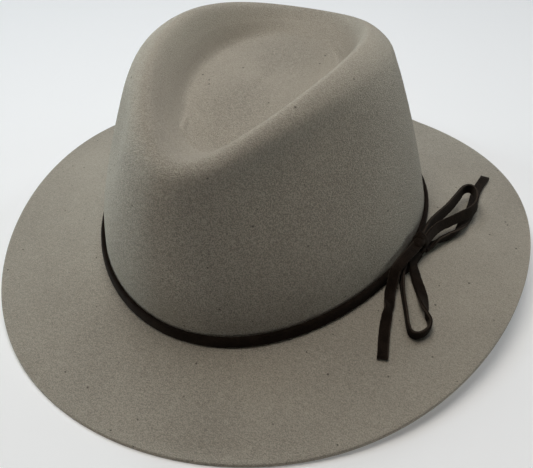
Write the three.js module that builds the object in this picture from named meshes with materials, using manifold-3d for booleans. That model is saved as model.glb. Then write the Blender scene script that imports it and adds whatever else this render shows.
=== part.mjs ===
// A wool felt hat: teardrop crown with a dipped top, wide cut brim, and a leather lace tied in a bow.
// Millimetres, +Z up. The front faces -Y and the bow is on the +X side, the wearer's left.
// The origin is on the surface that the hat rests on, under the middle of the brim.
// Angles go round the crown from the front, in degrees, and grow towards +X.

import * as THREE from "three";
import { mergeVertices } from "three/addons/utils/BufferGeometryUtils.js";
import Module from "manifold-3d";

const wasm = await Module();
wasm.setup();

// Materials
const FELT_COLOUR = 0x89857a;
const FELT_ROUGHNESS = 0.95;
const LACE_COLOUR = 0x1c1512;
const LACE_ROUGHNESS = 0.75;

// Felt and lace
const FELT = 2.2;
const LACE_WIDTH = 5.2;
const LACE_THICK = 1.7;
const SEAT_GAP = 0.35;

// Outline of the crown's foot at the lace: an oval that is a little wider in front
const CENTRE_Y = -4.15;
const FOOT_LONG = 104;
const FOOT_WIDE = 86;
const FOOT_EGG = 0.034;

// Each list below is a series in the cosines of 0, 1, 2, 3 and 4 times the angle
const FOOT_HEIGHT = [20.75, 0.27, -6.7, -0.65];
const BRIM_WIDTH = [56.3, -3.0, 1.2, -1.2];
const EDGE_HEIGHT = [9.3, -1.43, -8.95, 2.11, 1.12];
const SHOULDER_OUT = [7.0, -1.7, -1.2, 0.5];
const SHOULDER_DOWN = [5.5, -2.6];
const SIDE_BULGE = [3.3, 3.25, -1.3, -0.3];

// Sag of the brim below the straight line from edge to crown
const SAG_ENDS = 1.5;
const SAG_SIDES = 1.0;

// The edge lies flat where its height is within this much of the surface below
const REST_BLEND = 0.6;

// Closed rings on the crown: x in sines of 1, 2 and 3 times the angle, y and z in cosines from 0
const CREST = { x: [46.5, -2.7, -1.15], y: [11.5, 78.1, 1.9], z: [117.5, -2.55, -8.55, -0.7] };
const TROUGH = { x: [32.6, -4.1, -0.1], y: [11.9, 56.1, -0.8], z: [102.2, -3.0, -1.7, -0.4] };
const FLOOR_MIDDLE = new THREE.Vector3(0, -11.6, 104.2);
const LIP_IN = 4.6;
const LIP_DOWN = 0.7;

// Dents pressed into the crown's two front sides, under the crest
const PINCHES = [
  { angle: 45, spread: 32, depth: 8.3 },
  { angle: -50, spread: 16, depth: 4.5 },
];

// Rows of the felt from the cut edge to the middle of the top
const BRIM_ROWS = [
  { share: 0.075, sag: 0.25 },
  { share: 0.25, sag: 0.65 },
  { share: 0.5, sag: 1.0 },
  { share: 0.78, sag: 0.8 },
  { share: 0.95, sag: 0.2 },
];
const BREAK_ROWS = [
  { out: -0.6, up: -0.35 },
  { out: -2.0, up: 1.6 },
  { out: -2.5, up: 4.8 },
];
const SIDE_ROWS = [
  { share: 0.22, bulge: 0.63, pinch: 0.1 },
  { share: 0.45, bulge: 1.0, pinch: 0.5 },
  { share: 0.7, bulge: 1.07, pinch: 1.0 },
  { share: 0.88, bulge: 0.84, pinch: 0.95 },
  { share: 1.0, bulge: 0.2, pinch: 0.25 },
];
const WALL_ROWS = [0.38, 0.8];
const FLOOR_ROWS = [0.09, 0.45];

// Facets: columns round the hat, and steps between one row of the felt and the next
const COLUMNS = 80;
const COLUMN_STEP = 360 / COLUMNS;
const ROW_STEPS = [1, 1, 1, 1, 1, 1, 1, 1, 1, 1, 1, 1, 1, 2, 2, 2, 1, 1, 1, 1, 1];

// The first rows at the cut edge have their under side straight below, so the edge stands upright
const UPRIGHT_ROWS = 2;

// Degrees round and millimetres out over which the brim's slope is measured
const SLOPE_REACH = 1;

// Section of the lace round the crown: out from the foot's outline, and up
const BAND_SECTION = [
  { out: -0.7, up: 0.3 },
  { out: 0, up: 0.2 },
  { out: -0.5, up: 5.3 },
  { out: -2.1, up: 5.2 },
  { out: -1.65, up: 2.4 },
  { out: -1.0, up: 1.2 },
];

// The knot: a lump of lace with one turn wrapped round it. Out, along and up are half sizes.
const KNOT = { angle: 83.5, out: 1.6, lift: 5.8 };
const KNOT_LUMP = { out: 3.3, along: 5.3, up: 4.9 };
const KNOT_WRAP = { out: 2.7, up: 4.4, width: 4.2, thick: 1.5, lean: 20 };
const KNOT_FACETS = { around: 20, down: 12 };

// The free lace, row by row from the knot: angle and out in plan, lift of its middle above the felt,
// and roll, which is 0 where it lies flat and 90 where it stands on its edge
const FRONT_TAIL = [
  { angle: 82, out: 2.6, lift: 8.6, roll: 0 },
  { angle: 77, out: 1.9, lift: 8.7, roll: 0 },
  { angle: 73.2, out: 1.5, lift: 8.4, roll: 0 },
  { angle: 69.6, out: 1.8, lift: 7.3, roll: 5 },
  { angle: 67, out: 3.5, lift: 3.6, roll: 8 },
  { angle: 65.3, out: 4.9, lift: 1.8, roll: 5 },
  { angle: 63.4, out: 7.5, lift: 1.5, roll: 0 },
  { angle: 61.1, out: 10.6, lift: 3, roll: 45 },
  { angle: 58.4, out: 14, lift: 1.7, roll: 5 },
  { angle: 56.1, out: 17.8, lift: 1.4, roll: 0 },
  { angle: 52.1, out: 26.4, lift: 1.4, roll: 0 },
];
const FRONT_LOOP = [
  { angle: 82, out: 2.8, lift: 5.2, roll: 25 },
  { angle: 79, out: 2.9, lift: 5.2, roll: 25 },
  { angle: 76.8, out: 3.9, lift: 4.6, roll: 20 },
  { angle: 75, out: 7.2, lift: 2.8, roll: 8 },
  { angle: 73, out: 11.6, lift: 1.8, roll: 0 },
  { angle: 70.9, out: 16.4, lift: 1.8, roll: 5 },
  { angle: 68.4, out: 20.9, lift: 2.9, roll: 40 },
  { angle: 66.9, out: 24.4, lift: 3.2, roll: 80 },
  { angle: 66, out: 27.6, lift: 3.2, roll: 90 },
  { angle: 64.5, out: 29.5, lift: 3.2, roll: 90 },
  { angle: 62.6, out: 29.4, lift: 3.2, roll: 90 },
  { angle: 61.2, out: 28, lift: 3.2, roll: 90 },
  { angle: 60.7, out: 25.6, lift: 3.2, roll: 95 },
  { angle: 61.6, out: 22.1, lift: 3.2, roll: 100 },
  { angle: 63.4, out: 17.9, lift: 3.2, roll: 100 },
  { angle: 65.3, out: 13.8, lift: 3.2, roll: 100 },
  { angle: 67.5, out: 9.6, lift: 3.2, roll: 100 },
  { angle: 69.8, out: 6, lift: 3.2, roll: 92 },
  { angle: 72.4, out: 3.3, lift: 3.15, roll: 95 },
  { angle: 74.6, out: 2.9, lift: 3.05, roll: 120 },
  { angle: 76.8, out: 3, lift: 2.6, roll: 145 },
  { angle: 79.5, out: 3.1, lift: 2.5, roll: 155 },
  { angle: 82, out: 3.1, lift: 2.5, roll: 155 },
];
const REAR_LOOP = [
  { angle: 84, out: 1.8, lift: 6.9, roll: 100 },
  { angle: 88.1, out: 2.4, lift: 7.2, roll: 112 },
  { angle: 92.1, out: 3.1, lift: 7.2, roll: 120 },
  { angle: 97.2, out: 5.8, lift: 7, roll: 122 },
  { angle: 103, out: 10.2, lift: 6.9, roll: 122 },
  { angle: 107.8, out: 14.1, lift: 7.3, roll: 118 },
  { angle: 111.1, out: 17.1, lift: 7.6, roll: 110 },
  { angle: 112.9, out: 18.8, lift: 7.9, roll: 102 },
  { angle: 114.2, out: 21, lift: 8.2, roll: 95 },
  { angle: 114.6, out: 23.5, lift: 8.4, roll: 90 },
  { angle: 113.9, out: 25.5, lift: 8.5, roll: 90 },
  { angle: 112.5, out: 26.3, lift: 8.5, roll: 88 },
  { angle: 110.8, out: 26.3, lift: 8.5, roll: 86 },
  { angle: 108.6, out: 26, lift: 8.4, roll: 82 },
  { angle: 106, out: 24.9, lift: 8.2, roll: 73 },
  { angle: 103.5, out: 22.4, lift: 8, roll: 65 },
  { angle: 100.9, out: 18.3, lift: 7.8, roll: 62 },
  { angle: 97.3, out: 13, lift: 7.4, roll: 58 },
  { angle: 93.4, out: 8, lift: 7, roll: 52 },
  { angle: 89.4, out: 5.4, lift: 6.9, roll: 50 },
  { angle: 84, out: 4.4, lift: 6.8, roll: 55 },
];
const REAR_TAIL = [
  { angle: 84.3, out: 4, lift: 2.6, roll: 5 },
  { angle: 87, out: 5.8, lift: 2.3, roll: 15 },
  { angle: 89.6, out: 8.6, lift: 3.2, roll: 70 },
  { angle: 93.3, out: 13.2, lift: 3, roll: 90 },
  { angle: 96.2, out: 16.6, lift: 3, roll: 75 },
  { angle: 99.7, out: 18.6, lift: 2.7, roll: 25 },
  { angle: 103.7, out: 20.8, lift: 1.7, roll: 5 },
  { angle: 107.8, out: 23.2, lift: 1.5, roll: 0 },
  { angle: 112.8, out: 26, lift: 1.4, roll: 0 },
  { angle: 118.9, out: 30.4, lift: 1.4, roll: 0 },
  { angle: 126.9, out: 41.7, lift: 1.4, roll: 0 },
];
const STEPS_PER_ROW = 2;

const radians = THREE.MathUtils.degToRad;

// The sum of a cosine series at an angle
function cosines(terms, angle) {
  const a = radians(angle);
  return terms.reduce((sum, term, i) => sum + term * Math.cos(i * a), 0);
}

// A point of a crown ring, moved out along its plan and down
function ringPoint(ring, angle, out = 0, down = 0) {
  const a = radians(angle);
  const x = ring.x.reduce((sum, term, i) => sum + term * Math.sin((i + 1) * a), 0);
  const dx = ring.x.reduce((sum, term, i) => sum + (i + 1) * term * Math.cos((i + 1) * a), 0);
  const dy = ring.y.reduce((sum, term, i) => sum + i * term * Math.sin(i * a), 0);
  const length = Math.hypot(dx, dy);
  return new THREE.Vector3(
    x + (out * dy) / length,
    CENTRE_Y - cosines(ring.y, angle) - (out * dx) / length,
    cosines(ring.z, angle) - down,
  );
}

// The outward direction of the foot's outline in plan
function outward(angle) {
  const a = radians(angle);
  const x = ((1 + FOOT_EGG * Math.cos(a)) * Math.sin(a)) / FOOT_WIDE;
  return new THREE.Vector3(x, -Math.cos(a) / FOOT_LONG, 0).normalize();
}

// A point measured out and up from the foot's outline
function footPoint(angle, out, up) {
  const a = radians(angle);
  const x = FOOT_WIDE * (1 + FOOT_EGG * Math.cos(a)) * Math.sin(a);
  const y = CENTRE_Y - FOOT_LONG * Math.cos(a);
  const z = cosines(FOOT_HEIGHT, angle) + up;
  return new THREE.Vector3(x, y, z).addScaledVector(outward(angle), out);
}

// The brim's upper face at one angle, from its cut edge to its root
function brimRows(angle) {
  const a = radians(angle);
  const edge = footPoint(angle, cosines(BRIM_WIDTH, angle), 0);
  edge.z = Math.max(FELT, cosines(EDGE_HEIGHT, angle));
  const root = footPoint(angle, 0, -SEAT_GAP);
  const sag = SAG_ENDS * Math.cos(a) ** 2 + SAG_SIDES * Math.sin(a) ** 2;
  const above = (cosines(EDGE_HEIGHT, angle) - FELT) / REST_BLEND;
  const lying = 1 - THREE.MathUtils.smoothstep(above, 0, 1);
  const rows = BRIM_ROWS.map((row, i) => {
    const point = edge.clone().lerp(root, row.share);
    point.z -= sag * row.sag;
    if (i === 0) {
      point.z = THREE.MathUtils.lerp(point.z, edge.z, lying);
    }
    point.z = Math.max(point.z, FELT);
    return point;
  });
  return [edge, ...rows, root];
}

// A point above the brim: out from the foot's outline and lift above the felt
function brimPoint(row) {
  const width = cosines(BRIM_WIDTH, row.angle);
  const share = 1 - row.out / width;
  const rows = brimRows(row.angle);
  const shares = [0, ...BRIM_ROWS.map((brimRow) => brimRow.share), 1];
  const next = Math.max(1, shares.findIndex((value) => value >= share));
  const part = (share - shares[next - 1]) / (shares[next] - shares[next - 1]);
  const height = THREE.MathUtils.lerp(rows[next - 1].z, rows[next].z, part);
  const point = footPoint(row.angle, row.out, 0);
  point.z = height + row.lift;
  return point;
}

// The brim's upward normal under a point of the lace
function brimNormal(row) {
  const here = brimPoint(row);
  const round = brimPoint({ ...row, angle: row.angle + SLOPE_REACH }).sub(here);
  const outwards = brimPoint({ ...row, out: row.out + SLOPE_REACH }).sub(here);
  return outwards.cross(round).normalize();
}

// How deep the side dents are at an angle between -180 and 180
function pinchDepth(angle) {
  const turned = THREE.MathUtils.euclideanModulo(angle + 180, 360) - 180;
  return PINCHES.reduce(
    (sum, dent) => sum + dent.depth * Math.exp(-(((turned - dent.angle) / dent.spread) ** 2)),
    0,
  );
}

// The felt's upper face at one angle, from the cut edge to the middle of the top
function feltColumn(angle) {
  const brim = brimRows(angle).slice(0, -1);
  const corner = BREAK_ROWS.map((row) => footPoint(angle, row.out, row.up));
  const foot = corner[corner.length - 1];
  const shoulder = ringPoint(CREST, angle, cosines(SHOULDER_OUT, angle), cosines(SHOULDER_DOWN, angle));
  const bulge = cosines(SIDE_BULGE, angle);
  const pinch = pinchDepth(angle);
  const side = SIDE_ROWS.map((row) =>
    foot
      .clone()
      .lerp(shoulder, row.share)
      .addScaledVector(outward(angle), bulge * row.bulge - pinch * row.pinch),
  );
  const lip = ringPoint(CREST, angle, -LIP_IN, LIP_DOWN);
  const trough = ringPoint(TROUGH, angle);
  const wall = WALL_ROWS.map((share) => lip.clone().lerp(trough, share));
  const floor = FLOOR_ROWS.map((share) => {
    const point = trough.clone().lerp(FLOOR_MIDDLE, share);
    point.z = THREE.MathUtils.lerp(trough.z, FLOOR_MIDDLE.z, 1 - (1 - share) ** 2);
    return point;
  });
  const rows = [...brim, ...corner, ...side, ringPoint(CREST, angle), lip, ...wall, trough, ...floor];
  return smoothed([...rows, FLOOR_MIDDLE], ROW_STEPS);
}

// Points along a smooth curve through the given ones, with a number of steps for each stretch
function smoothed(points, steps) {
  const curve = new THREE.CatmullRomCurve3(points, false, "centripetal");
  const last = points.length - 1;
  const line = steps.flatMap((count, i) =>
    Array.from({ length: count }, (_, j) => curve.getPoint((i + j / count) / last)),
  );
  return [...line, points[last].clone()];
}

// The same column moved inwards by the felt's thickness, and flat where it would pass the surface below
function underColumn(columns, j) {
  const column = columns[j];
  const after = columns[(j + 1) % COLUMNS];
  const before = columns[(j + COLUMNS - 1) % COLUMNS];
  const last = column.length - 1;
  return column.map((point, i) => {
    const round = after[i].clone().sub(before[i]);
    const inwards = column[Math.min(i + 1, last)].clone().sub(column[Math.max(i - 1, 0)]);
    const isUpright = i < UPRIGHT_ROWS || i === last;
    const normal = isUpright ? new THREE.Vector3(0, 0, 1) : round.cross(inwards).normalize();
    const under = point.clone().addScaledVector(normal, -FELT);
    under.z = Math.max(0, under.z);
    return under;
  });
}

// A closed shell between an upper and an under face, each given as columns that share their last point
function shellGeometry(upper, under) {
  const rowCount = upper[0].length - 1;
  const faceSize = upper.length * rowCount + 1;
  const points = [upper, under].flatMap((columns) => [
    ...columns.flatMap((column) => column.slice(0, rowCount)),
    columns[0][rowCount],
  ]);
  const index = [];
  upper.forEach((_, j) => {
    const next = (j + 1) % upper.length;
    const here = j * rowCount;
    const there = next * rowCount;
    for (let i = 0; i < rowCount - 1; i += 1) {
      quad(index, here + i, there + i, there + i + 1, here + i + 1);
      const down = faceSize;
      quad(index, down + here + i + 1, down + there + i + 1, down + there + i, down + here + i);
    }
    const top = here + rowCount - 1;
    const topNext = there + rowCount - 1;
    index.push(top, topNext, faceSize - 1);
    index.push(faceSize + topNext, faceSize + top, 2 * faceSize - 1);
    quad(index, faceSize + here, faceSize + there, there, here);
  });
  return geometryFrom(points, index);
}

// Two triangles for a quad whose corners run anticlockwise as seen from outside
function quad(index, a, b, c, d) {
  index.push(a, b, c, a, c, d);
}

function geometryFrom(points, index) {
  const geometry = new THREE.BufferGeometry().setFromPoints(points);
  geometry.setIndex(index);
  geometry.computeVertexNormals();
  return geometry;
}

// A solid through a row of equal sections, closed on itself or capped at both ends
function loftGeometry(sections, closed) {
  const size = sections[0].length;
  const index = [];
  const stretches = closed ? sections.length : sections.length - 1;
  for (let k = 0; k < stretches; k += 1) {
    const here = k * size;
    const there = ((k + 1) % sections.length) * size;
    for (let m = 0; m < size; m += 1) {
      const n = (m + 1) % size;
      quad(index, here + m, there + m, there + n, here + n);
    }
  }
  if (!closed) {
    const end = (sections.length - 1) * size;
    for (let m = 1; m < size - 1; m += 1) {
      index.push(0, m, m + 1);
      index.push(end, end + m + 1, end + m);
    }
  }
  return geometryFrom(sections.flat(), index);
}

// A flat lace along the rows of a table
function laceGeometry(table) {
  const curve = new THREE.CatmullRomCurve3(table.map(brimPoint), false, "centripetal");
  const normals = table.map(brimNormal);
  const stretches = table.length - 1;
  const count = stretches * STEPS_PER_ROW;
  const sections = Array.from({ length: count + 1 }, (_, k) => {
    const t = k / count;
    const row = Math.min(Math.floor(t * stretches), stretches - 1);
    const roll = radians(THREE.MathUtils.lerp(table[row].roll, table[row + 1].roll, t * stretches - row));
    const along = curve.getTangent(t);
    const normal = normals[row].clone().lerp(normals[row + 1], t * stretches - row);
    const side = along.clone().cross(normal).normalize();
    const up = side.clone().cross(along);
    const across = side.clone().multiplyScalar(Math.cos(roll)).addScaledVector(up, Math.sin(roll));
    const through = up.multiplyScalar(Math.cos(roll)).addScaledVector(side, -Math.sin(roll));
    const corners = [[-1, -1], [1, -1], [1, 1], [-1, 1]];
    return corners.map(([a, b]) =>
      curve
        .getPoint(t)
        .addScaledVector(across, (a * LACE_WIDTH) / 2)
        .addScaledVector(through, (b * LACE_THICK) / 2),
    );
  });
  return loftGeometry(sections, false);
}

// The lace round the crown's foot, as a closed ring
function bandGeometry() {
  const sections = Array.from({ length: COLUMNS }, (_, j) =>
    BAND_SECTION.map((corner) => footPoint(j * COLUMN_STEP, corner.out, corner.up)),
  );
  return loftGeometry(sections, true);
}

// The knot about its own middle, grown all round: x is out of the hat, y is along the lace
function knotGeometry(grow) {
  const lump = new THREE.SphereGeometry(1, KNOT_FACETS.around, KNOT_FACETS.down);
  lump.rotateX(Math.PI / 2);
  lump.scale(KNOT_LUMP.out + grow, KNOT_LUMP.along + grow, KNOT_LUMP.up + grow);
  const half = KNOT_WRAP.width / 2 + grow;
  const thick = KNOT_WRAP.thick / 2 + grow;
  const sections = Array.from({ length: KNOT_FACETS.around }, (_, k) => {
    const turn = (k / KNOT_FACETS.around) * 2 * Math.PI;
    const corners = [[-half, -thick], [half, -thick], [half, thick], [-half, thick]];
    return corners.map(([y, radial]) =>
      new THREE.Vector3(
        Math.cos(turn) * (KNOT_WRAP.out + radial),
        y,
        Math.sin(turn) * (KNOT_WRAP.up + radial),
      ),
    );
  });
  const wrap = loftGeometry(sections, true);
  wrap.rotateX(radians(KNOT_WRAP.lean));
  return fromSolid(toSolid(lump).add(toSolid(wrap)));
}

// Joins and cuts work on closed solids
function toSolid(geometry) {
  const bare = geometry.clone();
  bare.deleteAttribute("normal");
  bare.deleteAttribute("uv");
  const merged = mergeVertices(bare);
  const vertProperties = new Float32Array(merged.attributes.position.array);
  const triVerts = new Uint32Array(merged.index.array);
  return new wasm.Manifold(new wasm.Mesh({ numProp: 3, vertProperties, triVerts }));
}

function fromSolid(solid) {
  const mesh = solid.getMesh();
  const geometry = new THREE.BufferGeometry();
  geometry.setAttribute("position", new THREE.BufferAttribute(new Float32Array(mesh.vertProperties), 3));
  geometry.setIndex(Array.from(mesh.triVerts));
  geometry.computeVertexNormals();
  return geometry;
}

function named(name, geometry, material) {
  const mesh = new THREE.Mesh(geometry, material);
  mesh.name = name;
  return mesh;
}

function feltMaterial() {
  return new THREE.MeshStandardMaterial({ color: FELT_COLOUR, roughness: FELT_ROUGHNESS, metalness: 0 });
}

function laceMaterial() {
  return new THREE.MeshStandardMaterial({ color: LACE_COLOUR, roughness: LACE_ROUGHNESS, metalness: 0 });
}

const feltColumns = Array.from({ length: COLUMNS }, (_, j) => feltColumn(j * COLUMN_STEP));
const underColumns = feltColumns.map((_, j) => underColumn(feltColumns, j));
const feltBody = named("felt_body", shellGeometry(feltColumns, underColumns), feltMaterial());

const knot = named("bow_knot", knotGeometry(0), laceMaterial());
const knotOutward = outward(KNOT.angle);
knot.position.copy(brimPoint(KNOT));
knot.rotation.z = Math.atan2(knotOutward.y, knotOutward.x);
knot.updateMatrixWorld();

// The lace ends at the knot: what would lie in the knot, nearer than the gap or beyond it is cut away
const knotRoom = toSolid(knotGeometry(SEAT_GAP).applyMatrix4(knot.matrixWorld));
function endedAtKnot(geometry) {
  const pieces = toSolid(geometry).subtract(knotRoom).decompose();
  return fromSolid(pieces.reduce((most, piece) => (piece.volume() > most.volume() ? piece : most)));
}

const hat = new THREE.Group();
hat.add(feltBody, knot);
hat.add(named("band", endedAtKnot(bandGeometry()), laceMaterial()));
hat.add(named("bow_tail_front", endedAtKnot(laceGeometry(FRONT_TAIL)), laceMaterial()));
hat.add(named("bow_loop_front", endedAtKnot(laceGeometry(FRONT_LOOP)), laceMaterial()));
hat.add(named("bow_loop_rear", endedAtKnot(laceGeometry(REAR_LOOP)), laceMaterial()));
hat.add(named("bow_tail_rear", endedAtKnot(laceGeometry(REAR_TAIL)), laceMaterial()));

export default hat;
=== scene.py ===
"""A wool felt hat with a leather lace tied in a bow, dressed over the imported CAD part.

The shapes are worked out in millimetres from the same tables as the part's source, and every mesh
is made in metres. The front faces -Y and the bow is on the +X side. Angles go round the crown from
the front, in degrees, and grow towards +X.
"""

import bpy
import numpy as np
from mathutils import Matrix, Vector, noise


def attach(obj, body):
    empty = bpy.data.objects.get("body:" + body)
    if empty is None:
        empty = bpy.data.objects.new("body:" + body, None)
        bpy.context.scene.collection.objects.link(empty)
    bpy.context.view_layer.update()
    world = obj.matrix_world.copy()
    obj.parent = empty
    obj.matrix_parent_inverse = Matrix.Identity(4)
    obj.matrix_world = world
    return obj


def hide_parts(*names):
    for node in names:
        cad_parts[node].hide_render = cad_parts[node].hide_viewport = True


MM = 0.001

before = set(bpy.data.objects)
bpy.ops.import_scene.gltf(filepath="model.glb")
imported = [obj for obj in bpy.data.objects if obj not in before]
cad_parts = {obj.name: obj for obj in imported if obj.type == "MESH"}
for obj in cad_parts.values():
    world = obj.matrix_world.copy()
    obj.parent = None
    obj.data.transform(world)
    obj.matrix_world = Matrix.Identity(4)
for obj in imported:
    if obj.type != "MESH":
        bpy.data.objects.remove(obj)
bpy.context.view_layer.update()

# Felt and lace
FELT = 2.2
LACE_WIDTH = 5.2
LACE_THICK = 1.7
SEAT_GAP = 0.35

# Outline of the crown's foot at the lace
CENTRE_Y = -4.15
FOOT_LONG = 104.0
FOOT_WIDE = 86.0
FOOT_EGG = 0.034

# Each list below is a series in the cosines of 0, 1, 2, 3 and 4 times the angle
FOOT_HEIGHT = [20.75, 0.27, -6.7, -0.65]
BRIM_WIDTH = [56.3, -3.0, 1.2, -1.2]
EDGE_HEIGHT = [9.3, -1.43, -8.95, 2.11, 1.12]
SHOULDER_OUT = [7.0, -1.7, -1.2, 0.5]
SHOULDER_DOWN = [5.5, -2.6]
SIDE_BULGE = [3.3, 3.25, -1.3, -0.3]

# Sag of the brim, and the height above the surface below within which its edge lies flat
SAG_ENDS = 1.5
SAG_SIDES = 1.0
REST_BLEND = 0.6

# Closed rings on the crown: x in sines of 1, 2 and 3 times the angle, y and z in cosines from 0
CREST = {"x": [46.5, -2.7, -1.15], "y": [11.5, 78.1, 1.9], "z": [117.5, -2.55, -8.55, -0.7]}
TROUGH = {"x": [32.6, -4.1, -0.1], "y": [11.9, 56.1, -0.8], "z": [102.2, -3.0, -1.7, -0.4]}
FLOOR_MIDDLE = np.array([0, -11.6, 104.2])
LIP_IN = 4.6
LIP_DOWN = 0.7

# Dents in the crown's two front sides: angle, spread and depth
PINCHES = [(45, 32, 8.3), (-50, 16, 4.5)]

# Rows of the felt from the cut edge to the middle of the top
BRIM_ROWS = [(0.075, 0.25), (0.25, 0.65), (0.5, 1.0), (0.78, 0.8), (0.95, 0.2)]
BREAK_ROWS = [(-0.6, -0.35), (-2.0, 1.6), (-2.5, 4.8)]
SIDE_ROWS = [(0.22, 0.63, 0.1), (0.45, 1.0, 0.5), (0.7, 1.07, 1.0), (0.88, 0.84, 0.95), (1.0, 0.2, 0.25)]
WALL_ROWS = [0.38, 0.8]
FLOOR_ROWS = [0.09, 0.45]

# Rounding of the dent's lip and of the foot of its wall: the row, the spread in steps, and the passes
ROUNDED = [(16, 5, 40), (18, 5.5, 22)]

# Creases in the dent, from this row inwards: height, spread and a line in plan
CREASED_FROM = 16
CREASES = [
    (2.2, 12, [(-9.4, 42), (-9.6, 18), (-10.5, 0), (-8, -27), (-5, -50)]),
    (1.3, 1.1, [(-18, -50), (-17, -58), (-14.5, -64), (-8, -68.5), (-1, -71)]),
    (0.7, 1.5, [(17, 38), (24, 31), (30, 22), (33, 14)]),
]

# How a crease fades: the share of its line cut off at each end, its taper and its roundness across
CREASE_END = 0.02
CREASE_TAPER = 0.7
CREASE_ROUNDNESS = 1.2

# How deep the nap is on each row of the felt, from the cut edge to the middle of the top
NAP = [
    1.0, 1.0, 1.0, 1.0, 1.0, 1.0, 1.2, 1.4, 1.6, 2.0, 2.0,
    2.0, 2.0, 1.8, 1.5, 1.2, 0.9, 0.9, 1.0, 1.1, 1.2, 1.2,
]

# The share of the nap that is missing at the two sides of the hat
NAP_WORN = 0.4

# How much lighter the felt is painted on each row: painted light over the crest and the dented top
TOP_LIGHT_ROWS = [0, 0, 0, 0, 0, 0, 0, 0, 0, 0, 0, 0, 0.2, 0.7, 1, 1, 1, 0.9, 0.6, 0.5, 0.5, 0.5]
PAINTED_LIGHT_SHARE = 0.3

# Columns round the hat, and steps between one row of the felt and the next
COLUMNS = 360
ROW_STEPS = [4, 5, 6, 6, 5, 3, 3, 3, 5, 5, 5, 5, 5, 5, 5, 6, 7, 6, 7, 8, 10]

# The first rows at the cut edge have their under side straight below, so the edge stands upright
UPRIGHT_ROWS = 2

# The cut edge: how far its corners are rounded, and the turns of its section from top to bottom
EDGE_ROUND = 0.45
EDGE_TURNS = [60, 30, 0, -30, -60]

# Section of the lace round the crown: out from the foot's outline, and up
BAND_SECTION = [(-0.7, 0.3), (0, 0.2), (-0.5, 5.3), (-2.1, 5.2), (-1.65, 2.4), (-1.0, 1.2)]
BAND_MIDDLE = (-1.0, 2.7)
BAND_STEPS = 4

# Unevenness of a surface: its size and depth, and the place in the noise that it starts from
BAND_UNEVEN = (1.3, 0.12)
BAND_SEED = 27.7
KNOT_UNEVEN = (1.6, 0.3)
KNOT_SEED = 41.3
LACE_UNEVEN = (1.1, 0.16)

# The knot: its place, its lumps as middles and half sizes out, along and up, and the lace round it
KNOT = (83.5, 1.6, 5.8)
KNOT_LUMPS = [
    ((0, 0, 0), (3.2, 4.8, 4.6)),
    ((1.0, -2.2, 2.7), (2.8, 4.6, 2.1)),
    ((2.4, -1.4, -2.2), (2.1, 3.2, 2.2)),
    ((-0.6, 3.4, 3.1), (1.8, 2.4, 1.7)),
]
KNOT_WRAP = {"middle": (0.5, 1.5, 0.2), "out": 3.3, "up": 4.9, "width": 3.6, "thick": 1.4, "lean": 14}
KNOT_CORNER = 0.5
KNOT_TURNS = 48
KNOT_DROPS = 25

# The free lace, row by row from the knot: angle, out in plan, lift of its middle above the felt,
# and roll, which is 0 where it lies flat and 90 where it stands on its edge
FRONT_TAIL = [
    (82, 2.6, 8.6, 0), (77, 1.9, 8.7, 0), (73.2, 1.5, 8.4, 0), (69.6, 1.8, 7.3, 5),
    (67, 3.5, 3.6, 8), (65.3, 4.9, 1.8, 5), (63.4, 7.5, 1.5, 0), (61.1, 10.6, 3, 45),
    (58.4, 14, 1.7, 5), (56.1, 17.8, 1.4, 0), (52.1, 26.4, 1.4, 0),
]
FRONT_LOOP = [
    (82, 2.8, 5.2, 25), (79, 2.9, 5.2, 25), (76.8, 3.9, 4.6, 20), (75, 7.2, 2.8, 8),
    (73, 11.6, 1.8, 0), (70.9, 16.4, 1.8, 5), (68.4, 20.9, 2.9, 40), (66.9, 24.4, 3.2, 80),
    (66, 27.6, 3.2, 90), (64.5, 29.5, 3.2, 90), (62.6, 29.4, 3.2, 90), (61.2, 28, 3.2, 90),
    (60.7, 25.6, 3.2, 95), (61.6, 22.1, 3.2, 100), (63.4, 17.9, 3.2, 100), (65.3, 13.8, 3.2, 100),
    (67.5, 9.6, 3.2, 100), (69.8, 6, 3.2, 92), (72.4, 3.3, 3.15, 95), (74.6, 2.9, 3.05, 120),
    (76.8, 3, 2.6, 145), (79.5, 3.1, 2.5, 155), (82, 3.1, 2.5, 155),
]
REAR_LOOP = [
    (84, 1.8, 6.9, 100), (88.1, 2.4, 7.2, 112), (92.1, 3.1, 7.2, 120), (97.2, 5.8, 7, 122),
    (103, 10.2, 6.9, 122), (107.8, 14.1, 7.3, 118), (111.1, 17.1, 7.6, 110), (112.9, 18.8, 7.9, 102),
    (114.2, 21, 8.2, 95), (114.6, 23.5, 8.4, 90), (113.9, 25.5, 8.5, 90), (112.5, 26.3, 8.5, 88),
    (110.8, 26.3, 8.5, 86), (108.6, 26, 8.4, 82), (106, 24.9, 8.2, 73), (103.5, 22.4, 8, 65),
    (100.9, 18.3, 7.8, 62), (97.3, 13, 7.4, 58), (93.4, 8, 7, 52), (89.4, 5.4, 6.9, 50),
    (84, 4.4, 6.8, 55),
]
REAR_TAIL = [
    (84.3, 4, 2.6, 5), (87, 5.8, 2.3, 15), (89.6, 8.6, 3.2, 70), (93.3, 13.2, 3, 90),
    (96.2, 16.6, 3, 75), (99.7, 18.6, 2.7, 25), (103.7, 20.8, 1.7, 5), (107.8, 23.2, 1.5, 0),
    (112.8, 26, 1.4, 0), (118.9, 30.4, 1.4, 0), (126.9, 41.7, 1.4, 0),
]

# Steps between one row of the free lace and the next, rounding of its corners and bulge of its ends
LACE_STEPS = 7
LACE_CORNER = 0.4
LACE_BULGE = 0.12

# The pale cut edge: how far it reaches into the width, and how high through the lace
CUT_EDGE = 0.15
CUT_HEIGHT = 0.2

# The front tail's painted highlight, a pale strip along an edge: how wide it is, and the row where it
# changes from the crown's side
HIGHLIGHT_CORNER = 0.45
HIGHLIGHT_CHANGE = 3

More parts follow.
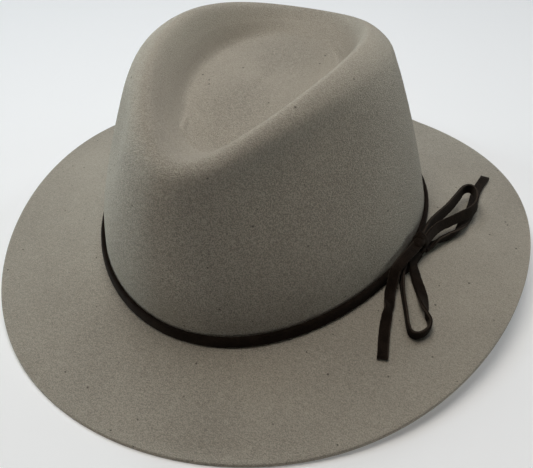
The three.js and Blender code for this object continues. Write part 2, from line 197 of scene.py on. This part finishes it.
# Camera, fitted to the photograph: angles in degrees, distances in millimetres, focal length in pixels
CAMERA_AZIMUTH = 25.606
CAMERA_ELEVATION = 38.443
CAMERA_ROLL = -1.095
CAMERA_DISTANCE = 407.219
CAMERA_ASIDE = (-2.061, -36.943)
CAMERA_TARGET = (0, -3.65, 48.75)
CAMERA_FOCAL = 753.413
PHOTO_WIDTH = 533
SENSOR_WIDTH = 36

# Colours
FELT_LIGHT = (0.411, 0.373, 0.308, 1)
FELT_DARK = (0.238, 0.215, 0.179, 1)
# Lighter felt for the painted light over the crest and the dented top
FELT_PAINTED_LIGHT = (0.47, 0.427, 0.353, 1)
FELT_SPECK = (0.035, 0.028, 0.022, 1)
LACE_DARK = (0.006, 0.0038, 0.0026, 1)
LACE_LIGHT = (0.0205, 0.0134, 0.0094, 1)
# Pale cut edge colour, also used for the painted highlight along the front tail's edge
LACE_EDGE_AND_HIGHLIGHT = (0.055, 0.043, 0.033, 1)
LACE_SHEEN = (1, 0.86, 0.72, 1)
WHITE = (1, 1, 1, 1)

# Patterns of the felt: how many to the metre, and the turn of its fibres
CLOUD_SCALE = 22
NAP_SCALE = 1900
FIBRE_SCALE = (450, 1300, 1000)
FIBRE_TURN = 0.9
SPECK_SCALE = 115
FLECK_SCALE = 290

# Shares of the patterns in the felt's tone, the mean of the fine ones, and their contrast
NAP_SHARE = 0.6
FIBRE_SHARE = 0.2
CLOUD_SHARE = 0.2
FINE_MEAN = 0.4
FINE_CONTRAST = 1.35

# Patterns of the lace: how many to the metre, and their shares in its tone
GRAIN_SCALE = 1300
WEAR_SCALE = 180
GRAIN_SHARE = 0.6
WEAR_SHARE = 0.4

# Stops of the ramps: the place in the pattern, and how much of the second colour is mixed in there
FELT_TONES = [(0.36, 0), (0.64, 1)]
SPECK_STOPS = [(0.036, 0.75), (0.077, 0)]
FLECK_STOPS = [(0.05, 0.22), (0.12, 0)]
LACE_TONES = [(0.4, 0), (0.75, 1)]

# Depth of the bumps in metres, and the share of the fibres in the felt's
FELT_BUMP = 0.0006
LACE_BUMP = 0.0004
FIBRE_BUMP = 0.25

# Floor, and beyond it the plain pale wall that the camera sees, which gives no light of its own
FLOOR_HALF = 3000
FLOOR_COLOUR = (0.8, 0.8, 0.8, 1)
FLOOR_GLOW = 0.16
WALL_COLOUR = (0.95, 0.97, 1, 1)
WALL_BRIGHTNESS = 0.7

# Round lights: name, then metres to the camera's right, up and towards the camera, size, power, colour
LIGHT_TARGET = Vector((0, 0, 0.08))
LIGHTS = [
    ("light_top_front", -0.1, 0.9, 0.1, 0.5, 3.55, (1, 0.94, 0.86)),
    ("light_top_back", -0.2, 0.8, -0.35, 0.5, 2.05, (0.85, 0.92, 1)),
    ("light_top_right", 0.2, 0.8, -0.1, 0.5, 0.9, (0.85, 0.93, 1)),
    ("light_left_back", -1.5, 0.1, -0.9, 0.5, 22.6, (0.7, 0.9, 1)),
    ("light_left", -1.5, 0.15, -0.1, 0.4, 3.8, (1, 0.92, 0.75)),
    ("light_left_high", -1.3, 0.5, 0, 0.5, 1.6, (0.85, 0.92, 1)),
    ("light_right_back", 1.4, 0.6, -1.3, 0.6, 8.3, (0.88, 0.92, 1)),
    ("light_right", 1.5, 0.15, -0.4, 0.4, 5, (0.88, 1, 0.97)),
]


def cosines(terms, angle):
    """The sum of a cosine series at an angle."""
    a = np.radians(angle)
    return sum(term * np.cos(i * a) for i, term in enumerate(terms))


def ring_point(ring, angle, out=0, down=0):
    """A point of a crown ring, moved out along its plan and down."""
    a = np.radians(angle)
    x = sum(term * np.sin((i + 1) * a) for i, term in enumerate(ring["x"]))
    dx = sum((i + 1) * term * np.cos((i + 1) * a) for i, term in enumerate(ring["x"]))
    dy = sum(i * term * np.sin(i * a) for i, term in enumerate(ring["y"]))
    length = np.hypot(dx, dy)
    y = CENTRE_Y - cosines(ring["y"], angle)
    z = cosines(ring["z"], angle) - down
    return np.stack([x + out * dy / length, y - out * dx / length, z], -1)


def outward(angle):
    """The outward direction of the foot's outline in plan."""
    a = np.radians(angle)
    x = (1 + FOOT_EGG * np.cos(a)) * np.sin(a) / FOOT_WIDE
    y = -np.cos(a) / FOOT_LONG
    return np.stack([x, y, 0 * x], -1) / np.hypot(x, y)[..., None]


def foot_point(angle, out, up):
    """A point measured out and up from the foot's outline."""
    a = np.radians(angle)
    x = FOOT_WIDE * (1 + FOOT_EGG * np.cos(a)) * np.sin(a)
    y = CENTRE_Y - FOOT_LONG * np.cos(a)
    z = cosines(FOOT_HEIGHT, angle) + up
    return np.stack([x, y, z], -1) + outward(angle) * np.asarray(out)[..., None]


def smoothstep(value):
    """0 up to a value of 0 and 1 from a value of 1 on, with a smooth rise between."""
    t = np.clip(value, 0, 1)
    return t * t * (3 - 2 * t)


def brim_rows(angle):
    """The brim's upper face at each angle, from its cut edge to its root."""
    a = np.radians(angle)
    edge = foot_point(angle, cosines(BRIM_WIDTH, angle), 0)
    edge[..., 2] = np.maximum(FELT, cosines(EDGE_HEIGHT, angle))
    root = foot_point(angle, 0 * a, -SEAT_GAP)
    sag = SAG_ENDS * np.cos(a) ** 2 + SAG_SIDES * np.sin(a) ** 2
    lying = 1 - smoothstep((cosines(EDGE_HEIGHT, angle) - FELT) / REST_BLEND)
    rows = [edge]
    for i, (share, row_sag) in enumerate(BRIM_ROWS):
        point = edge + (root - edge) * share
        height = point[..., 2] - sag * row_sag
        if i == 0:
            height = height + (edge[..., 2] - height) * lying
        point[..., 2] = np.maximum(height, FELT)
        rows.append(point)
    return [*rows, root]


def brim_point(angle, out, lift):
    """A point above the brim: out from the foot's outline and lift above the felt."""
    angle = np.asarray(angle, float)
    share = 1 - out / cosines(BRIM_WIDTH, angle)
    rows = [row[2] for row in brim_rows(angle)]
    shares = [0, *[row[0] for row in BRIM_ROWS], 1]
    place = int(np.clip(np.searchsorted(shares, share), 1, len(shares) - 1))
    part = (share - shares[place - 1]) / (shares[place] - shares[place - 1])
    point = foot_point(angle, out, 0)
    point[2] = rows[place - 1] + (rows[place] - rows[place - 1]) * part + lift
    return point


def brim_normal(angle, out):
    """The brim's upward normal."""
    here = brim_point(angle, out, 0)
    around = brim_point(angle + 1, out, 0) - here
    outwards = brim_point(angle, out + 1, 0) - here
    return unit(np.cross(outwards, around))


def unit(v):
    """Vectors of the same direction with a length of 1."""
    return v / np.maximum(np.linalg.norm(v, axis=-1, keepdims=True), 1e-9)


def spline(points, steps):
    """Points on a centripetal Catmull-Rom curve through the given ones, and its tangents."""
    points = np.asarray(points, float)
    extended = np.concatenate([[2 * points[0] - points[1]], points, [2 * points[-1] - points[-2]]])
    line, tangents = [], []
    for i, count in enumerate(steps):
        p0, p1, p2, p3 = extended[i:i + 4]
        a, b, c = [
            np.sqrt(np.linalg.norm(v, axis=-1, keepdims=True)) + 1e-9 for v in (p1 - p0, p2 - p1, p3 - p2)
        ]
        m1 = b * ((p1 - p0) / a - (p2 - p0) / (a + b) + (p2 - p1) / b)
        m2 = b * ((p2 - p1) / b - (p3 - p1) / (b + c) + (p3 - p2) / c)
        is_last = i == len(steps) - 1
        for j in range(count + 1 if is_last else count):
            t = j / count
            line.append(
                (2 * t**3 - 3 * t**2 + 1) * p1 + (t**3 - 2 * t**2 + t) * m1
                + (3 * t**2 - 2 * t**3) * p2 + (t**3 - t**2) * m2
            )
            tangents.append(
                (6 * t**2 - 6 * t) * p1 + (3 * t**2 - 4 * t + 1) * m1
                + (6 * t - 6 * t**2) * p2 + (3 * t**2 - 2 * t) * m2
            )
    return np.array(line), unit(np.array(tangents))


def mesh_object(name, points, faces, material):
    """A smooth mesh object from points in millimetres."""
    mesh = bpy.data.meshes.new(name)
    mesh.from_pydata((np.asarray(points).reshape(-1, 3) * MM).tolist(), [], faces)
    mesh.polygons.foreach_set("use_smooth", [True] * len(mesh.polygons))
    mesh.materials.append(material)
    mesh.update()
    made = bpy.data.objects.new(name, mesh)
    bpy.context.scene.collection.objects.link(made)
    return made


def grid_faces(rows, columns, close_rows, close_columns, start=0):
    """Quads over a grid of points whose index is row times columns plus column."""
    faces = []
    for i in range(rows if close_rows else rows - 1):
        here = start + i * columns
        there = start + (i + 1) % rows * columns
        for j in range(columns if close_columns else columns - 1):
            k = (j + 1) % columns
            faces.append((here + j, here + k, there + k, there + j))
    return faces


def roughened(points, normals, size, depth, seed):
    """Points moved along their normals by smooth noise of a size and a depth in millimetres."""
    shift = Vector((seed, seed, seed))
    amounts = [noise.noise(Vector(p) / size + shift) for p in np.asarray(points).tolist()]
    return points + normals * (np.array(amounts) * depth)[:, None]


# Materials


def node(tree, kind, inputs=None, **settings):
    """A shader node with its settings, and its inputs as values or as sockets to link from."""
    made = tree.nodes.new(kind)
    for key, value in settings.items():
        setattr(made, key, value)
    for key, value in (inputs or {}).items():
        if isinstance(value, bpy.types.NodeSocket):
            tree.links.new(value, made.inputs[key])
        else:
            made.inputs[key].default_value = value
    return made


def new_material(name, **shader_values):
    """A material with a Principled shader, and the tree and shader to build on."""
    material = bpy.data.materials.new(name)
    material.use_nodes = True
    tree = material.node_tree
    shader = tree.nodes["Principled BSDF"]
    for key, value in shader_values.items():
        shader.inputs[key.replace("_", " ")].default_value = value
    return material, tree, shader


def ramp(tree, factor, stops):
    """A colour ramp with stops of place and grey value."""
    made = node(tree, "ShaderNodeValToRGB", {"Fac": factor})
    while len(made.color_ramp.elements) < len(stops):
        made.color_ramp.elements.new(0.5)
    for element, (place, value) in zip(made.color_ramp.elements, stops):
        element.position = place
        element.color = (value, value, value, 1)
    return made.outputs["Color"]


def math(tree, operation, a, b):
    """The result of a calculation with two values or sockets."""
    return node(tree, "ShaderNodeMath", {0: a, 1: b}, operation=operation).outputs[0]


def mixed(tree, factor, a, b):
    """Two colours mixed by a factor."""
    made = node(tree, "ShaderNodeMix", data_type="RGBA")
    for key, value in {0: factor, 6: a, 7: b}.items():
        if isinstance(value, bpy.types.NodeSocket):
            tree.links.new(value, made.inputs[key])
        else:
            made.inputs[key].default_value = value
    return made.outputs[2]


def felt_material():
    """Matt felt: a fine nap, slanted fibres, slow clouds of tone, painted light over the crest and the
    dented top, and a few dark specks.
    """
    material, tree, shader = new_material("felt", Roughness=0.95, Specular_IOR_Level=0.12)
    place = node(tree, "ShaderNodeTexCoord").outputs["Object"]
    cloud = node(
        tree, "ShaderNodeTexNoise", {"Vector": place, "Scale": CLOUD_SCALE, "Detail": 4}
    ).outputs["Fac"]
    nap = node(
        tree, "ShaderNodeTexNoise", {"Vector": place, "Scale": NAP_SCALE, "Detail": 1, "Roughness": 0.6}
    ).outputs["Fac"]
    slanted = node(
        tree, "ShaderNodeMapping", {"Vector": place, "Rotation": (0, 0, FIBRE_TURN), "Scale": FIBRE_SCALE}
    ).outputs["Vector"]
    fibre = node(
        tree, "ShaderNodeTexNoise", {"Vector": slanted, "Scale": 1, "Detail": 2, "Distortion": 0.6}
    ).outputs["Fac"]
    fine = math(
        tree, "ADD", math(tree, "MULTIPLY", nap, NAP_SHARE), math(tree, "MULTIPLY", fibre, FIBRE_SHARE)
    )
    depth = node(tree, "ShaderNodeAttribute", attribute_name="nap").outputs["Fac"]
    contrast = math(tree, "MULTIPLY", depth, FINE_CONTRAST)
    uneven = math(tree, "MULTIPLY", math(tree, "SUBTRACT", fine, FINE_MEAN), contrast)
    even = math(tree, "ADD", uneven, FINE_MEAN)
    blend = math(tree, "ADD", even, math(tree, "MULTIPLY", cloud, CLOUD_SHARE))
    plain_tone = mixed(tree, ramp(tree, blend, FELT_TONES), FELT_DARK, FELT_LIGHT)
    # Painted light: the crest and the dented top are mixed towards a lighter tone, row by row
    painted_top_light = node(tree, "ShaderNodeAttribute", attribute_name="painted_top_light").outputs["Fac"]
    tone = mixed(tree, math(tree, "MULTIPLY", painted_top_light, PAINTED_LIGHT_SHARE), plain_tone, FELT_PAINTED_LIGHT)
    cells = node(tree, "ShaderNodeTexVoronoi", {"Vector": place, "Scale": SPECK_SCALE}).outputs["Distance"]
    speck = ramp(tree, cells, SPECK_STOPS)
    near = node(tree, "ShaderNodeTexVoronoi", {"Vector": place, "Scale": FLECK_SCALE}).outputs["Distance"]
    fleck = ramp(tree, near, FLECK_STOPS)
    flecked = mixed(tree, math(tree, "MAXIMUM", speck, fleck), tone, FELT_SPECK)
    tree.links.new(flecked, shader.inputs["Base Color"])
    raised = math(tree, "ADD", nap, math(tree, "MULTIPLY", fibre, FIBRE_BUMP))
    height = math(tree, "MULTIPLY", raised, depth)
    bump = node(tree, "ShaderNodeBump", {"Height": height, "Strength": 1.0, "Distance": FELT_BUMP})
    tree.links.new(bump.outputs["Normal"], shader.inputs["Normal"])
    return material


def lace_material():
    """Dark suede, a little lighter where it shows wear and on its cut edges, with a painted highlight
    along an edge of the front tail.
    """
    material, tree, shader = new_material(
        "lace", Roughness=0.85, Specular_IOR_Level=0.03, Sheen_Weight=0.03, Sheen_Roughness=0.6,
        Sheen_Tint=LACE_SHEEN,
    )
    place = node(tree, "ShaderNodeTexCoord").outputs["Object"]
    grain = node(
        tree, "ShaderNodeTexNoise", {"Vector": place, "Scale": GRAIN_SCALE, "Detail": 3, "Roughness": 0.7}
    ).outputs["Fac"]
    wear = node(
        tree, "ShaderNodeTexNoise", {"Vector": place, "Scale": WEAR_SCALE, "Detail": 2}
    ).outputs["Fac"]
    blend = math(
        tree, "ADD", math(tree, "MULTIPLY", grain, GRAIN_SHARE), math(tree, "MULTIPLY", wear, WEAR_SHARE)
    )
    tone = mixed(tree, ramp(tree, blend, LACE_TONES), LACE_DARK, LACE_LIGHT)
    # The cut edges, and the painted highlight along the front tail's edge, are mixed towards the pale edge
    # colour
    edge = node(tree, "ShaderNodeAttribute", attribute_name="cut_edge_and_highlight").outputs["Fac"]
    edged_and_highlit = mixed(tree, math(tree, "MULTIPLY", edge, grain), tone, LACE_EDGE_AND_HIGHLIGHT)
    tree.links.new(edged_and_highlit, shader.inputs["Base Color"])
    bump = node(tree, "ShaderNodeBump", {"Height": grain, "Strength": 0.5, "Distance": LACE_BUMP})
    tree.links.new(bump.outputs["Normal"], shader.inputs["Normal"])
    return material


# Camera

azimuth, elevation, roll = np.radians([CAMERA_AZIMUTH, CAMERA_ELEVATION, CAMERA_ROLL])
level = np.array([np.cos(azimuth), np.sin(azimuth), 0])
level_back = np.array([np.sin(azimuth), -np.cos(azimuth), 0])
back = level_back * np.cos(elevation) + [0, 0, np.sin(elevation)]
upright = np.cross(back, level)
right = np.cos(roll) * level + np.sin(roll) * upright
up = -np.sin(roll) * level + np.cos(roll) * upright
eye = np.array(CAMERA_TARGET) + back * CAMERA_DISTANCE + right * CAMERA_ASIDE[0] + up * CAMERA_ASIDE[1]
camera_data = bpy.data.cameras.new("camera")
camera_data.sensor_width = SENSOR_WIDTH
camera_data.lens = CAMERA_FOCAL / PHOTO_WIDTH * SENSOR_WIDTH
camera = bpy.data.objects.new("camera", camera_data)
bpy.context.scene.collection.objects.link(camera)
camera_turn = Matrix(np.column_stack([right, up, back])).to_4x4()
camera.matrix_world = Matrix.Translation(Vector(eye * MM)) @ camera_turn
bpy.context.scene.camera = camera

felt = felt_material()
lace = lace_material()


# Lace


def rounded_section(width, thick, corner, per_corner=3, per_side=8):
    """A rectangle with rounded corners as points of across and through, anticlockwise."""
    points = []
    centres = [(1, 1, 0), (-1, 1, 90), (-1, -1, 180), (1, -1, 270)]
    for sign_a, sign_b, start in centres:
        centre = np.array([sign_a * (width / 2 - corner), sign_b * (thick / 2 - corner)])
        for turn in np.radians(np.linspace(start, start + 90, per_corner + 1)):
            points.append(centre + corner * np.array([np.cos(turn), np.sin(turn)]))
    points = np.array(points)
    line = []
    for i, point in enumerate(points):
        line.append(point)
        after = points[(i + 1) % len(points)]
        if (i + 1) % (per_corner + 1) == 0:
            for share in np.arange(1, per_side) / per_side:
                line.append(point + (after - point) * share)
    return np.array(line)


def mark_points(made, name, values):
    """Gives every point of a mesh a number that its material reads."""
    attribute = made.data.attributes.new(name, "FLOAT", "POINT")
    attribute.data.foreach_set("value", np.asarray(values, np.float32))


def lace_frames(table):
    """Centres, and the directions across and through a lace along its table."""
    angles, outs, _, rolls = np.array(table, float).T
    points = [brim_point(*row[:3]) for row in table]
    steps = [LACE_STEPS] * (len(table) - 1)
    centres, along = spline(points, steps)
    at = np.linspace(0, len(table) - 1, len(centres))
    normals = np.array([brim_normal(angle, out) for angle, out in zip(angles, outs)])
    normal = np.stack([np.interp(at, np.arange(len(table)), normals[:, k]) for k in range(3)], -1)
    roll = np.radians(np.interp(at, np.arange(len(table)), rolls))[:, None]
    side = unit(np.cross(along, normal))
    upper = np.cross(side, along)
    across = side * np.cos(roll) + upper * np.sin(roll)
    through = upper * np.cos(roll) - side * np.sin(roll)
    return centres, along, across, through


def lace_mesh(name, table, seed, painted_highlight):
    """A flat lace with soft corners, uneven cut edges and closed ends, a painted highlight along one edge
    if asked, and its line in metres.
    """
    centres, along, across, through = lace_frames(table)
    section = rounded_section(LACE_WIDTH, LACE_THICK, LACE_CORNER)
    size = len(section)
    rings = [
        centre + np.outer(section[:, 0], a_dir) + np.outer(section[:, 1], t_dir)
        for centre, a_dir, t_dir in zip(centres, across, through)
    ]
    points = np.array(rings).reshape(-1, 3)
    normals = unit(points - np.repeat(centres, size, axis=0))
    points = roughened(points, normals, *LACE_UNEVEN, seed)
    faces = grid_faces(len(rings), size, False, True)
    for ring, is_end in ((0, False), (len(rings) - 1, True)):
        middle = len(points)
        bulge = LACE_BULGE if is_end else -LACE_BULGE
        points = np.vstack([points, centres[ring] + along[ring] * bulge])
        for m in range(size):
            here = ring * size + m
            there = ring * size + (m + 1) % size
            faces.append((here, there, middle) if is_end else (there, here, middle))
    made = mesh_object(name, points, faces, lace)
    is_edge_or_highlight = (np.abs(section[:, 0]) > LACE_WIDTH / 2 - CUT_EDGE) & (section[:, 1] < CUT_HEIGHT)
    is_edge_or_highlight = np.tile(is_edge_or_highlight, (len(rings), 1))
    # Painted highlight: a pale strip along one edge, on one side near the knot and on the other further on
    if painted_highlight:
        before = (np.arange(len(rings)) < HIGHLIGHT_CHANGE * LACE_STEPS)[:, None]
        is_edge_or_highlight |= np.where(before, section[:, 0], -section[:, 0]) > LACE_WIDTH / 2 - HIGHLIGHT_CORNER
    mark_points(made, "cut_edge_and_highlight", [*is_edge_or_highlight.ravel(), True, True])
    return made, centres * MM


# Piece, CAD node, table, what the far end is, place in the noise, and if it has the painted highlight
# along an edge
cords = [
    ("lace_tail_front", "bow_tail_front", FRONT_TAIL, "bare", 3.1, True),
    ("lace_loop_front", "bow_loop_front", FRONT_LOOP, "object", 7.7, False),
    ("lace_loop_rear", "bow_loop_rear", REAR_LOOP, "object", 12.3, False),
    ("lace_tail_rear", "bow_tail_rear", REAR_TAIL, "bare", 19.9, False),
]
for piece_name, cad_node, table, far_end, seed, painted_highlight in cords:
    piece, path = lace_mesh(piece_name, table, seed, painted_highlight)
    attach(piece, "root")
    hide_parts(cad_node)

# The lace round the crown
band_angles = np.arange(COLUMNS) * 360 / COLUMNS
section_line, _ = spline([*BAND_SECTION, BAND_SECTION[0]], [BAND_STEPS] * len(BAND_SECTION))
section_line = section_line[:-1]
band_rings = [foot_point(band_angles, np.full(COLUMNS, out), rise) for out, rise in section_line]
band_points = np.array(band_rings).transpose(1, 0, 2).reshape(-1, 3)
band_middle = foot_point(band_angles, np.full(COLUMNS, BAND_MIDDLE[0]), BAND_MIDDLE[1])
band_normals = unit(band_points - np.repeat(band_middle, len(section_line), axis=0))
band_points = roughened(band_points, band_normals, *BAND_UNEVEN, BAND_SEED)
band_faces = grid_faces(COLUMNS, len(section_line), True, True)
band = mesh_object("lace_band", band_points, band_faces, lace)
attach(band, "root")
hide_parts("band")

# The knot
knot_out = outward(np.array(KNOT[0]))
knot_axes = np.column_stack([knot_out, np.cross([0, 0, 1], knot_out), [0, 0, 1]])
knot_centre = brim_point(*KNOT)
turns = np.radians(np.arange(KNOT_TURNS) * 360 / KNOT_TURNS)
drops = np.radians(np.linspace(-90, 90, KNOT_DROPS))
ball = np.array([
    (np.cos(drop) * np.cos(turn), np.sin(drop), np.cos(drop) * np.sin(turn))
    for drop in drops for turn in turns
])
knot_points = []
knot_faces = []
knot_edges = []
for middle, half_sizes in KNOT_LUMPS:
    knot_faces += grid_faces(len(drops), len(turns), False, True, sum(map(len, knot_points)))
    knot_points.append(ball * half_sizes + middle)
    knot_edges.append(np.zeros(len(ball)))
section = rounded_section(KNOT_WRAP["width"], KNOT_WRAP["thick"], KNOT_CORNER)
wrap = np.array([
    (np.cos(t) * (KNOT_WRAP["out"] + through), across, np.sin(t) * (KNOT_WRAP["up"] + through))
    for t in turns for across, through in section
])
lean = np.radians(KNOT_WRAP["lean"])
tilt = np.array([[1, 0, 0], [0, np.cos(lean), -np.sin(lean)], [0, np.sin(lean), np.cos(lean)]])
knot_faces += grid_faces(len(turns), len(section), True, True, sum(map(len, knot_points)))
knot_points.append(wrap @ tilt.T + KNOT_WRAP["middle"])
knot_edges.append(np.tile(np.abs(section[:, 0]) > KNOT_WRAP["width"] / 2 - CUT_EDGE, len(turns)))
knot_points = np.vstack(knot_points)
knot_points = roughened(knot_points, unit(knot_points), *KNOT_UNEVEN, KNOT_SEED)
knot = mesh_object("lace_knot", knot_points @ knot_axes.T + knot_centre, knot_faces, lace)
mark_points(knot, "cut_edge_and_highlight", np.concatenate(knot_edges))
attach(knot, "root")
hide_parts("bow_knot")


# Felt


def pinch_depth(angle):
    """How deep the side dents are at an angle."""
    turned = (angle + 180) % 360 - 180
    return sum(depth * np.exp(-(((turned - at) / spread) ** 2)) for at, spread, depth in PINCHES)


def felt_rows(angle):
    """The felt's upper face at each angle, from the cut edge to the middle of the top."""
    rows = brim_rows(angle)[:-1]
    rows += [foot_point(angle, np.full(len(angle), out), rise) for out, rise in BREAK_ROWS]
    foot = rows[-1]
    shoulder = ring_point(CREST, angle, cosines(SHOULDER_OUT, angle), cosines(SHOULDER_DOWN, angle))
    bulge = cosines(SIDE_BULGE, angle)
    pinch = pinch_depth(angle)
    for share, row_bulge, row_pinch in SIDE_ROWS:
        push = bulge * row_bulge - pinch * row_pinch
        rows.append(foot + (shoulder - foot) * share + outward(angle) * push[:, None])
    rows.append(ring_point(CREST, angle))
    lip = ring_point(CREST, angle, -LIP_IN, LIP_DOWN)
    trough = ring_point(TROUGH, angle)
    rows += [lip, *[lip + (trough - lip) * share for share in WALL_ROWS], trough]
    for share in FLOOR_ROWS:
        point = trough + (FLOOR_MIDDLE - trough) * share
        point[:, 2] = trough[:, 2] + (FLOOR_MIDDLE[2] - trough[:, 2]) * (1 - (1 - share) ** 2)
        rows.append(point)
    return np.array([*rows, np.repeat(FLOOR_MIDDLE[None], len(angle), axis=0)])


def softened(grid, row, spread, passes):
    """The surface with the fold along one of its rows rounded over."""
    start = sum(ROW_STEPS[:row])
    weight = np.exp(-(((np.arange(len(grid)) - start) / spread) ** 2))[:, None, None]
    for _ in range(passes):
        mean = (np.roll(grid, 1, axis=0) + np.roll(grid, -1, axis=0)) / 2
        mean[0], mean[-1] = grid[0], grid[-1]
        grid = grid + (mean - grid) * weight
    return grid


def line_distance(points, line):
    """How far points are in plan from a line of points, and how far along it their nearest place is."""
    line = np.array(line, float)
    best = np.full(points.shape[:-1], np.inf)
    along = np.zeros(points.shape[:-1])
    for k in range(len(line) - 1):
        step = line[k + 1] - line[k]
        t = np.clip(((points[..., :2] - line[k]) @ step) / (step @ step), 0, 1)
        gap = np.linalg.norm(points[..., :2] - line[k] - t[..., None] * step, axis=-1)
        along = np.where(gap < best, (k + t) / (len(line) - 1), along)
        best = np.minimum(best, gap)
    return best, along


def creased(grid):
    """The height that the creases of the dented top add, where the surface is inside the crest."""
    inside = np.arange(len(grid))[:, None] > sum(ROW_STEPS[:CREASED_FROM])
    added = 0
    for height, spread, line in CREASES:
        gap, along = line_distance(grid, line)
        fade = np.sin(np.pi * np.clip(along, CREASE_END, 1 - CREASE_END)) ** CREASE_TAPER
        added = added + height * fade * np.exp(-np.abs(gap / spread) ** CREASE_ROUNDNESS)
    return added * inside


angles = np.arange(COLUMNS) * 360 / COLUMNS
upper, _ = spline(felt_rows(angles), ROW_STEPS)
for row, spread, passes in ROUNDED:
    upper = softened(upper, row, spread, passes)
upper[..., 2] += creased(upper)
round_dir = np.roll(upper, -1, axis=1) - np.roll(upper, 1, axis=1)
in_dir = np.gradient(upper, axis=0)
normals = unit(np.cross(round_dir, in_dir))
upright_count = sum(ROW_STEPS[:UPRIGHT_ROWS - 1]) + 1
normals[:upright_count] = [0, 0, 1]
normals[-1] = [0, 0, 1]
under = upper - normals * FELT
under[..., 2] = np.maximum(under[..., 2], 0)

# The cut edge, with its two corners a little worn
edge_out = outward(angles)
edge_line = []
for turn in np.radians(EDGE_TURNS):
    level_in = EDGE_ROUND * (1 - np.cos(turn))
    height = FELT / 2 + (FELT / 2 - EDGE_ROUND) * np.sign(turn) + EDGE_ROUND * np.sin(turn)
    edge_line.append(under[0] + [0, 0, height] - edge_out * level_in)
upper[0] -= edge_out * EDGE_ROUND
under[0] -= edge_out * EDGE_ROUND
rows = np.array([*upper[-2::-1], *edge_line, *under[:-1]])
points = np.vstack([rows.reshape(-1, 3), upper[-1, 0], under[-1, 0]])
faces = grid_faces(len(rows), COLUMNS, False, True)
top, bottom = len(points) - 2, len(points) - 1
last = (len(rows) - 1) * COLUMNS
for j in range(COLUMNS):
    k = (j + 1) % COLUMNS
    faces.append((top, k, j))
    faces.append((bottom, last + j, last + k))
felt_piece = mesh_object("felt_hat", points, [face[::-1] for face in faces], felt)
row_places = np.repeat(np.arange(len(ROW_STEPS)), ROW_STEPS) + np.concatenate(
    [np.arange(count) / count for count in ROW_STEPS]
)
row_nap = np.interp(row_places, np.arange(len(NAP)), NAP)
side_nap = [*row_nap[::-1], *[NAP[0]] * len(edge_line), *row_nap]
round_nap = 1 - NAP_WORN * np.sin(np.radians(angles)) ** 2
mark_points(felt_piece, "nap", [*np.outer(side_nap, round_nap).ravel(), NAP[-1], NAP[-1]])
# Painted light over the crest and the dented top, row by row, for the felt's material
row_top_light = np.interp(row_places, np.arange(len(TOP_LIGHT_ROWS)), TOP_LIGHT_ROWS)
side_top_light = [*row_top_light[::-1], *[TOP_LIGHT_ROWS[0]] * len(edge_line), *row_top_light]
mark_points(felt_piece, "painted_top_light", [*np.repeat(side_top_light, COLUMNS), TOP_LIGHT_ROWS[-1], TOP_LIGHT_ROWS[-1]])
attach(felt_piece, "root")
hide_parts("felt_body")

# Floor and light

floor_material, _, _ = new_material(
    "floor", Base_Color=FLOOR_COLOUR, Roughness=0.9, Emission_Color=WHITE, Emission_Strength=FLOOR_GLOW
)
floor_corners = [(x * FLOOR_HALF, y * FLOOR_HALF, 0) for x, y in ((-1, -1), (1, -1), (1, 1), (-1, 1))]
floor = mesh_object("floor", floor_corners, [(0, 1, 2, 3)], floor_material)


def area_light(name, aside, height, towards, size, power, colour):
    """A round light placed from the camera's side: aside to its right, and towards it."""
    data = bpy.data.lights.new(name, "AREA")
    data.shape = "DISK"
    data.size = size
    data.energy = power
    data.color = colour
    light = bpy.data.objects.new(name, data)
    bpy.context.scene.collection.objects.link(light)
    light.location = Vector(level * aside + level_back * towards + [0, 0, height])
    light.visible_camera = False
    light.rotation_mode = "QUATERNION"
    light.rotation_quaternion = (light.location - LIGHT_TARGET).to_track_quat("Z", "Y")


for light in LIGHTS:
    area_light(*light)

world = bpy.data.worlds.new("world")
world.use_nodes = True
wall = world.node_tree.nodes["Background"]
wall.inputs["Color"].default_value = WALL_COLOUR
is_seen = node(world.node_tree, "ShaderNodeLightPath").outputs["Is Camera Ray"]
brightness = math(world.node_tree, "MULTIPLY", is_seen, WALL_BRIGHTNESS)
world.node_tree.links.new(brightness, wall.inputs["Strength"])
bpy.context.scene.world = world
bpy.context.scene.view_settings.view_transform = "Standard"
